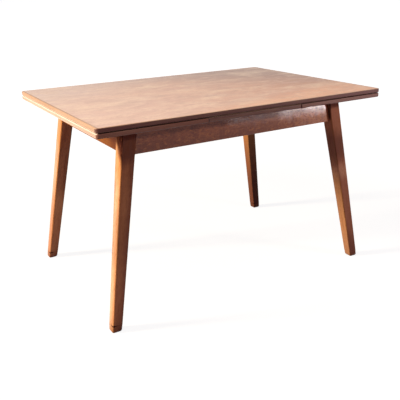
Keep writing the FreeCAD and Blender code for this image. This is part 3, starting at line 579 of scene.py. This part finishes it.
# The leaves' long lippings, with the groove's line of painted shade above and a dark mark at each
# joint with the centre.
LEAF_LONG = {**LEAF_STAIN, "wrap": 6 * MM, "outline": (leaf_far.x, leaf_far.y, CORNER_ROUND),
             "joint": "2a1410", "joints": (GROOVE_SHADE_LINE, (ALONG, LEAF_ENDS_AT, 1 * MM, 3 * MM, 0.5),
                                           (ALONG, -LEAF_ENDS_AT, 2.5 * MM, 5 * MM, 0.95))}
# The leaves' end lippings, paler and pinker than the top's.
LEAF_END = {**LEAF_STAIN, **PAINTED_EDGE_LIGHT, "dark": "b4988a", "light": "c8b4a8", "wrap": 6 * MM,
            "outline": (FAR_AWAY, leaf_far.y, CORNER_ROUND)}
# The centre board's lippings. They never slide out. Their edges are painted darker, as painted shade
# under the top's overhang.
CENTRE_LIPPING = {**LEAF_STAIN, "edge": "663c32", "wrap": 6 * MM,
                  "outline": (FAR_AWAY, centre_far.y, CORNER_ROUND)}
print("groove at", round(GROOVE_AT / MM, 1), "mm, leaf ends at", round(LEAF_ENDS_AT / MM, 1), "mm")

# %% [markdown]
# Rails and boards are plain rectangles, so one direction of grain serves each kind: along the table for
# the aprons, the veneers and the lopers, across it for the end rails and the cross rail, and along its
# own edge for each lipping. A node's name says which kind it is.

# %% Rails and boards
WOODS = {
    "apron": ("stained_beech_apron", STAINED_RAIL, ALONG, 11),
    "end_rail": ("stained_beech_end_rail", END_RAIL, ACROSS, 12),
    "cross_rail": ("plain_beech_cross_rail", PLAIN_BEECH, ACROSS, 13),
    "top_panel": ("beech_veneer_top", TOP_VENEER, ALONG, 21),
    "leaf_left_panel": ("beech_veneer_left_leaf", BEECH_VENEER, ALONG, 22),
    "leaf_right_panel": ("beech_veneer_right_leaf", BEECH_VENEER, ALONG, 23),
    "centre_board": ("beech_veneer_centre", BEECH_VENEER, ALONG, 24),
    "centre_lipping": ("beech_lipping_centre", CENTRE_LIPPING, ALONG, 27),
    "top_lipping_long": ("beech_lipping_top_long", LONG_LIPPING, ALONG, 25),
    "top_lipping_end": ("beech_lipping_top_end", END_LIPPING, ACROSS, 26),
    "leaf_lipping_long": ("beech_lipping_leaf_long", LEAF_LONG, ALONG, 28),
    "leaf_lipping_end": ("beech_lipping_leaf_end", LEAF_END, ACROSS, 29),
    "loper": ("plain_beech_loper", PLAIN_BEECH, ALONG, 31),
    "block": ("plain_pine_block", PLAIN_PINE, ACROSS, 32),
    "peg": ("plain_beech_peg", PLAIN_BEECH, UP, 33),
}
board_woods = {kind: wood(*recipe) for kind, recipe in WOODS.items()}


def kind_of(node):
    """The kind of wood that a node's name asks for, or None."""
    if any(word in node for word in ("screw", "washer", "felt", "leg_", "foot_")):
        return None
    if "lipping" in node and not node.startswith("centre"):
        run = "end" if node.endswith(("left", "right", "outer", "inner")) else "long"
        return f"{node.split('_')[0]}_lipping_{run}"
    if node.startswith(("corner_block", "centre_cleats")):
        return "block"
    return next(kind for kind in WOODS if node.startswith(kind) or f"_{kind}" in node)


for node in nodes:
    kind = kind_of(node)
    if kind:
        dress(node, board_woods[kind])
print("nodes in wood:", sum(1 for node in nodes if kind_of(node)), "of", len(board_woods), "kinds")

# %% [markdown]
# The fittings hardly show until a leaf is drawn out. The screws and washers are steel with a thin coat
# of zinc, which is bright but blurs what it mirrors, more so where it has dulled. The boards rest on
# strips of pressed wool felt. Its fibres are finer than a render can show, so the mottle is coarser.

# %% Steel and felt
BLOTCHES_PER_MM = 0.9
MOTTLES_PER_MM = 1.6


def steel(name, tone, rough):
    """Bright zinc-plated steel. It mirrors the room in a blurred way and has no colour of its own."""
    material, tree = new_material(name)
    place = add(tree, "TexCoord").outputs["Object"]
    blotches = add(tree, "TexNoise", {"Vector": place, "Scale": BLOTCHES_PER_MM / MM, "Detail": 2.0})
    dull = add(tree, "MapRange", {"Value": blotches, "To Min": rough - 0.06, "To Max": rough + 0.1})
    shader = add(tree, "BsdfPrincipled", {"Base Color": colour(tone), "Metallic": 1.0, "Roughness": dull})
    add(tree, "OutputMaterial", {"Surface": shader})
    return material


def felt(name, tone, deep):
    """Pressed wool felt. It is matt, and its fibres give it a fine mottle and a soft bloom."""
    material, tree = new_material(name)
    place = add(tree, "TexCoord").outputs["Object"]
    fibres = add(tree, "TexNoise", {"Vector": place, "Scale": MOTTLES_PER_MM / MM, "Detail": 4.0,
                                    "Roughness": 0.7})
    mottle = add(tree, "MapRange", {"Value": fibres, "From Min": 0.35, "From Max": 0.65})
    shade = add(tree, "Mix", {"Factor": mottle, "A": colour(deep), "B": colour(tone)}, data_type="RGBA")
    relief = add(tree, "Bump", {"Height": fibres, "Strength": 0.5, "Distance": 0.3 * MM})
    shader = add(tree, "BsdfPrincipled", {"Base Color": shade, "Roughness": 0.95, "Sheen Weight": 0.4,
                                          "Normal": relief})
    add(tree, "OutputMaterial", {"Surface": shader})
    return material


screw_steel = steel("zinc_plated_steel_screw", "b9b7b0", 0.32)
FITTINGS = {"screw": screw_steel,
            "washer": steel("zinc_plated_steel_washer", "b3b1ab", 0.36),
            "felt": felt("pressed_wool_felt", "4c5a3e", "343f2b")}
for word, material in FITTINGS.items():
    dressed = [node for node in nodes if word in node]
    for node in dressed:
        dress(node, material)
    print(word, "nodes:", len(dressed))

# %% [markdown]
# Each leg stands on a foot block of its own, glued under the leg where the old foot was cut away. Its
# lower edge is well rounded by wear. One block is modelled and the other three are mirrored from it.
# It starts as a cube that fills the upper part of the foot. Its lower face is then extruded down in
# small steps, each drawn in a little more, as a quarter circle is, which gives a softer edge than a
# bevel. The upper edge gets a fine chamfer, half of a V groove. The sizes at each height come from the
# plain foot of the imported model, because the foot leans and tapers as the leg does.

# %% Shape of the foot


def section_at(node, level):
    """The lowest and highest X and Y of a node's points at a height."""
    near = [vertex.co for vertex in nodes[node].data.vertices if abs(vertex.co.z - level) < 0.3 * MM]
    xs, ys = [point.x for point in near], [point.y for point in near]
    return Vector((min(xs), min(ys), level)), Vector((max(xs), max(ys), level))


FOOT_BEVEL_AT = 3 * MM
FOOT_ROUND = 6.5 * MM
FOOT_CHAMFER = 1 * MM
FOOT_ARRIS = 6 * MM
ARRIS_STEPS = 5
ROUND_STEPS = 6
MODEL_FOOT = "foot_front_left"

top_low, top_high = section_at(MODEL_FOOT, FOOT_HEIGHT)
bevel_low, bevel_high = section_at(MODEL_FOOT, FOOT_BEVEL_AT)
drop = FOOT_HEIGHT - FOOT_BEVEL_AT
slope_low, slope_high = (top_low - bevel_low) / drop, (top_high - bevel_high) / drop


def foot_middle(level):
    """The middle of the foot's section at a height."""
    back = FOOT_HEIGHT - level
    return (top_low + top_high) / 2 - (slope_low + slope_high) / 2 * back


def foot_width(level):
    """The foot's section at a height, along X and Y."""
    back = FOOT_HEIGHT - level
    return (top_high - top_low) - (slope_high - slope_low) * back


print("foot at its top:", [round(side / MM, 1) for side in foot_width(FOOT_HEIGHT)[:2]], "mm")

# %% Foot blocks


def pick(mesh, kind, wanted):
    """In edit mode, selects the faces or edges that `wanted` says yes to, and nothing else."""
    bpy.ops.mesh.select_all(action="DESELECT")
    bpy.ops.mesh.select_mode(type=kind)
    shape = bmesh.from_edit_mesh(mesh)
    for part in shape.faces if kind == "FACE" else shape.edges:
        part.select_set(wanted(part))
    bmesh.update_edit_mesh(mesh)


def upright(edge):
    """Whether an edge runs more up than along."""
    run = edge.verts[0].co - edge.verts[1].co
    return abs(run.z) > 0.7 * run.length


deselect()
body_low, body_high = FOOT_ROUND, FOOT_HEIGHT - FOOT_CHAMFER
bpy.ops.mesh.primitive_cube_add(size=1, location=foot_middle(body_low))
foot = bpy.context.object
foot.name = "foot_block_front_left"
bpy.ops.object.mode_set(mode="EDIT")
for level, sign in ((body_low, -1), (body_high, 1)):
    pick(foot.data, "FACE", lambda face: face.normal.z * sign > 0.9)
    middle, width = foot_middle(level), foot_width(level)
    here = foot_middle(body_low) + Vector((0, 0, sign / 2))
    bpy.ops.transform.resize(value=(width.x, width.y, 1), center_override=here)
    bpy.ops.transform.translate(value=(middle.x - here.x, middle.y - here.y, level - here.z))
pick(foot.data, "EDGE", upright)
bpy.ops.mesh.bevel(offset=FOOT_ARRIS, segments=ARRIS_STEPS, affect="EDGES")

angles = [math.pi / 2 * step / ROUND_STEPS for step in range(1, ROUND_STEPS + 1)]
rounding = [(FOOT_ROUND * (1 - math.sin(angle)), FOOT_ROUND * (1 - math.cos(angle))) for angle in angles]
for sign, level, course in ((-1, body_low, rounding), (1, body_high, [(FOOT_HEIGHT, FOOT_CHAMFER)])):
    pick(foot.data, "FACE", lambda face: face.normal.z * sign > 0.9)
    drawn = 0.0
    for target, shrink in course:
        move = foot_middle(target) - foot_middle(level)
        bpy.ops.mesh.extrude_region_move(TRANSFORM_OT_translate={"value": move})
        before, after = foot_width(level), foot_width(target)
        scale = [(after[axis] - 2 * shrink) / (before[axis] - 2 * drawn) for axis in (0, 1)]
        bpy.ops.transform.resize(value=(*scale, 1), center_override=foot_middle(target))
        level, drawn = target, shrink
bpy.ops.mesh.select_all(action="SELECT")
bpy.ops.mesh.normals_make_consistent(inside=False)
bpy.ops.object.mode_set(mode="OBJECT")
bpy.ops.object.transform_apply(location=True, rotation=True, scale=True)
bpy.ops.object.shade_smooth_by_angle(angle=math.radians(32))
print("foot block:", len(foot.data.polygons), "faces", [round(side, 4) for side in foot.dimensions])


def mirrored_copy(piece, name, turn):
    """A copy of a piece with its own mesh, mirrored by a scale such as (-1, 1, 1)."""
    copy = piece.copy()
    copy.data = piece.data.copy()
    copy.name = name
    bpy.context.scene.collection.objects.link(copy)
    copy.scale = turn
    choose(copy)
    bpy.ops.object.transform_apply(location=True, rotation=True, scale=True)
    bpy.ops.object.mode_set(mode="EDIT")
    bpy.ops.mesh.select_all(action="SELECT")
    bpy.ops.mesh.normals_make_consistent(inside=False)
    bpy.ops.object.mode_set(mode="OBJECT")
    return copy


feet = {"front_left": foot}
for corner, turn in (("front_right", (-1, 1, 1)), ("back_left", (1, -1, 1)), ("back_right", (-1, -1, 1))):
    feet[corner] = mirrored_copy(foot, f"foot_block_{corner}", turn)
for corner, piece in feet.items():
    piece.data.materials.append(leg_woods[corner])
    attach(piece, "frame")
    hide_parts(f"foot_{corner}")

# %% [markdown]
# Slotted steel screws hold the lopers, the cleats, the corner blocks and the guide pegs. One screw of
# each length is modelled and copied to its places. It starts as a cylinder for the head. The head's
# upper face is drawn in twice, which gives the pan shape. The lower face is drawn in to the shank, and
# the shank is extruded in short steps that swell and shrink, as the ridges of a thread do, down to a
# point. Last, two bisections mark a strip across the head, which is pushed down for the slot.

# %% A modelled screw
SCREW_SIDES = 20
HEAD_RADIUS, HEAD_HEIGHT = 4.2 * MM, 2.4 * MM
PAN_STEPS = ((0.35, 0.86), (0.15, 0.75))
SHANK_RADIUS, CORE_RADIUS, TIP_RADIUS = 2.2 * MM, 1.6 * MM, 0.1 * MM
THREAD_PITCH = 1.8 * MM
SLOT_HALF, SLOT_DEPTH = 0.5 * MM, 1.1 * MM


def draw_face(rise, factor):
    """Extrudes the selected face along Z and scales it about the axis."""
    bpy.ops.mesh.extrude_region_move(TRANSFORM_OT_translate={"value": (0, 0, rise)})
    bpy.ops.transform.resize(value=(factor, factor, 1), center_override=(0, 0, 0))


def modelled_screw(name, length):
    """A slotted pan-head screw along Z, its tip down, with the top of its head at zero."""
    deselect()
    bpy.ops.mesh.primitive_cylinder_add(vertices=SCREW_SIDES, radius=HEAD_RADIUS, end_fill_type="NGON",
                                        depth=0.5 * HEAD_HEIGHT, location=(0, 0, -0.75 * HEAD_HEIGHT))
    made = bpy.context.object
    made.name = name
    bpy.ops.object.mode_set(mode="EDIT")
    pick(made.data, "FACE", lambda face: face.normal.z > 0.9)
    for rise, factor in PAN_STEPS:
        draw_face(rise * HEAD_HEIGHT, factor)

    pick(made.data, "FACE", lambda face: face.normal.z < -0.9)
    draw_face(0, SHANK_RADIUS / HEAD_RADIUS)
    level, radius = -HEAD_HEIGHT, SHANK_RADIUS
    ridges = int((length - HEAD_HEIGHT - 3 * SHANK_RADIUS) / THREAD_PITCH)
    for next_radius in (CORE_RADIUS, SHANK_RADIUS) * ridges:
        draw_face(-0.5 * THREAD_PITCH, next_radius / radius)
        level, radius = level - 0.5 * THREAD_PITCH, next_radius
    draw_face(-length - level, TIP_RADIUS / radius)

    for side in (-1, 1):
        bpy.ops.mesh.select_all(action="SELECT")
        bpy.ops.mesh.bisect(plane_co=(side * SLOT_HALF, 0, 0), plane_no=(1, 0, 0))
    pick(made.data, "FACE",
         lambda face: face.normal.z > 0.9 and abs(face.calc_center_median().x) < SLOT_HALF)
    bpy.ops.mesh.extrude_region_move(TRANSFORM_OT_translate={"value": (0, 0, -SLOT_DEPTH)})
    bpy.ops.mesh.select_all(action="SELECT")
    bpy.ops.mesh.remove_doubles(threshold=0.01 * MM)
    bpy.ops.mesh.normals_make_consistent(inside=False)
    bpy.ops.object.mode_set(mode="OBJECT")
    bpy.ops.object.transform_apply(location=True, rotation=True, scale=True)
    bpy.ops.object.shade_smooth_by_angle(angle=math.radians(35))
    return made


print("screw head:", round(2 * HEAD_RADIUS / MM, 1), "mm across")

# %% [markdown]
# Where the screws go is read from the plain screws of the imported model, so that they stay in their
# holes if a size there changes. A node can hold several. They are told apart by the faces that join
# their points. The axis of each runs between the middles of its two ends, and the wider is the head.

# %% Places of the screws


def parts_of(node):
    """The separate solids in a node's mesh, each as a list of points."""
    mesh = nodes[node].data
    keys = [tuple(round(value / (0.01 * MM)) for value in vertex.co) for vertex in mesh.vertices]
    leader = {key: key for key in keys}

    def first_of(key):
        while leader[key] != key:
            key = leader[key]
        return key

    for face in mesh.polygons:
        corners = [first_of(keys[index]) for index in face.vertices]
        for other in corners[1:]:
            leader[other] = corners[0]
    groups = {}
    for key, vertex in zip(keys, mesh.vertices):
        groups.setdefault(first_of(key), []).append(vertex.co)
    return list(groups.values())


def ends_of_screw(points):
    """The middle of a plain screw's head and the middle of its tip."""
    middle = sum(points, Vector()) / len(points)
    far = max(points, key=lambda point: (point - middle).length)
    axis = (far - middle).normalized()
    for _ in range(3):
        ends = []
        for sign in (1, -1):
            reach = max(sign * (point - middle).dot(axis) for point in points)
            ring = [point for point in points if sign * (point - middle).dot(axis) > reach - 0.3 * MM]
            ends.append(sum(ring, Vector()) / len(ring))
        axis = (ends[0] - ends[1]).normalized()
    spread = [max((point - end - axis * (point - end).dot(axis)).length for point in points
                  if abs((point - end).dot(axis)) < 1 * MM) for end in ends]
    return ends if spread[0] > spread[1] else ends[::-1]


screw_nodes = [node for node in nodes if node.endswith(("_screws", "_screw_left", "_screw_right"))]
plain_screws = {node: [ends_of_screw(points) for points in parts_of(node)] for node in screw_nodes}
print("plain screws:", {node: len(screws) for node, screws in plain_screws.items()})

# %% Screws
body_members = frame["record"]["behaviour"]["bodies"]
patterns = {}
for node, plain in plain_screws.items():
    copies = []
    for head, tip in plain:
        length = round((tip - head).length, 4)
        if length not in patterns:
            patterns[length] = modelled_screw(f"screw_pattern_{len(patterns) + 1}", length)
        copy = patterns[length].copy()
        copy.data = patterns[length].data.copy()
        bpy.context.scene.collection.objects.link(copy)
        turn = (head - tip).to_track_quat("Z", "Y").to_matrix().to_4x4()
        copy.matrix_world = Matrix.Translation(head) @ turn
        copies.append(copy)
    choose(*copies)
    if len(copies) > 1:
        bpy.ops.object.join()
    bpy.ops.object.transform_apply(location=True, rotation=True, scale=True)
    screws = bpy.context.view_layer.objects.active
    screws.name = f"slotted_{node}"
    screws.data.materials.clear()
    screws.data.materials.append(screw_steel)
    body = next(name for name, members in body_members.items() if node in members)
    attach(screws, body)
    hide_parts(node)
    print(node, len(copies), "screws of", length * 1000, "mm,", len(screws.data.polygons), "faces")
for pattern in patterns.values():
    bpy.data.objects.remove(pattern)

# %% [markdown]
# The photograph has a white ground and one strong side. Light falls low from the left and a little
# from behind, so the faces towards the left are bright and those towards the viewer lie in shade. The
# floor shows white to the camera and keeps a soft shadow: it is a matt paint with some light of its
# own, a little less of it near the table, which only the camera and mirrors see. To the light that
# bounces off it, it is darker, so that it doesn't fill the shade.

# %% Floor
FLOOR_SIZE = 120
NEAR_TABLE, PAST_TABLE = 1.2, 3.0
OWN_LIGHT_NEAR = 0.88

bpy.ops.mesh.primitive_plane_add(size=FLOOR_SIZE, location=(0, 0, 0))
floor = bpy.context.object
floor.name = "floor"
floor_paint, tree = new_material("white_floor_paint")
rays = add(tree, "LightPath")
seen = add(tree, "Math", {0: rays.outputs["Is Camera Ray"], 1: rays.outputs["Is Glossy Ray"]},
           operation="MAXIMUM")
distance = add(tree, "VectorMath", {0: add(tree, "TexCoord").outputs["Object"]}, operation="LENGTH")
own_light = add(tree, "MapRange", {"Value": distance, "From Min": NEAR_TABLE, "From Max": PAST_TABLE,
                                   "To Min": OWN_LIGHT_NEAR, "To Max": 1.0})
matt_tone = add(tree, "Mix", {"Factor": seen, "A": colour("786a84"), "B": colour("7c7c7c")},
                data_type="RGBA")
matt = add(tree, "BsdfDiffuse", {"Color": matt_tone})
glow = add(tree, "Emission", {"Strength": add(tree, "Math", {0: seen, 1: own_light},
                                              operation="MULTIPLY")})
add(tree, "OutputMaterial", {"Surface": add(tree, "AddShader", {0: matt, 1: glow})})
floor.data.materials.append(floor_paint)
print("floor:", FLOOR_SIZE, "m square")

# %% [markdown]
# The room behind the table is white where it is seen or mirrored. As a light it is faint and a little
# violet, which gives the shaded wood its cool, purplish brown. Light Path tells these two apart, so the
# background is white without any more light on the table.

# %% World
ROOM_STRENGTH = 0.12

world = bpy.data.worlds.new("soft_room")
bpy.context.scene.world = world
world.use_nodes = True
tree = world.node_tree
tree.nodes.clear()
rays = add(tree, "LightPath")
mirrored = add(tree, "Math", {0: rays.outputs["Is Glossy Ray"], 1: rays.outputs["Is Transmission Ray"]},
               operation="MAXIMUM")
seen = add(tree, "Math", {0: rays.outputs["Is Camera Ray"], 1: mirrored}, operation="MAXIMUM")
strength = add(tree, "MapRange", {"Value": seen, "To Min": ROOM_STRENGTH, "To Max": 1.0})
tint = add(tree, "Mix", {"Factor": seen, "A": colour("e4c6fb"), "B": (1, 1, 1, 1)}, data_type="RGBA")
sky = add(tree, "Background", {"Color": tint, "Strength": strength})
add(tree, "OutputWorld", {"Surface": sky})
print("room light:", ROOM_STRENGTH)

# %% [markdown]
# The window is one strong warm lamp, low at the left. A weak lamp above lifts the shade, and a small one
# at the front right gives the front edges a sheen. The bright streaks on the front apron's right end
# are mirrored windows, so they are made by cards: small lamps that stand where the apron mirrors them
# towards the camera. They show in gloss and give no diffuse light.

# %% Lamps
APRON_SPOT = (0.3, -0.3, 0.67)


def lamp(name, place, aim, sides, power, tint):
    """A soft lamp, this wide and high, that looks at a point. The camera doesn't see it."""
    data = bpy.data.lights.new(name, "AREA")
    data.shape = "RECTANGLE"
    data.size, data.size_y = sides
    data.energy = power
    data.color = colour(tint)[:3]
    made = bpy.data.objects.new(name, data)
    bpy.context.scene.collection.objects.link(made)
    away = Vector(place) - Vector(aim)
    made.matrix_world = Matrix.Translation(place) @ away.to_track_quat("Z", "Y").to_matrix().to_4x4()
    made.visible_camera = False
    return made


lamp("window_left", (-6.1, 2.3, 2.75), (-0.2, 0, 0.55), (1.2, 1.8), 880, "ffeccc")
lamp("ceiling_front_left", (-0.9, -0.7, 2.2), (-0.4, -0.2, 0.7), (0.8, 0.8), 12, "fff2ea")
lamp("window_front_right", (1.38, -1.62, 1.25), (-0.1, -0.3, 0.62), (0.26, 0.14), 12, "fff0ea")
for name, place, sides, power in (("bright_card_right", (1.375, -1.5, 0.59), (0.41, 0.10), 2.48),
                                  ("hot_card_right", (1.43, -1.5, 0.585), (0.18, 0.035), 0.8),
                                  ("dim_card_middle", (0.96, -1.5, 0.565), (0.42, 0.04), 0.27),
                                  ("low_card_right", (1.45, -1.5, 0.48), (0.30, 0.09), 0.1)):
    lamp(name, place, APRON_SPOT, sides, power, "fff0f0").visible_diffuse = False
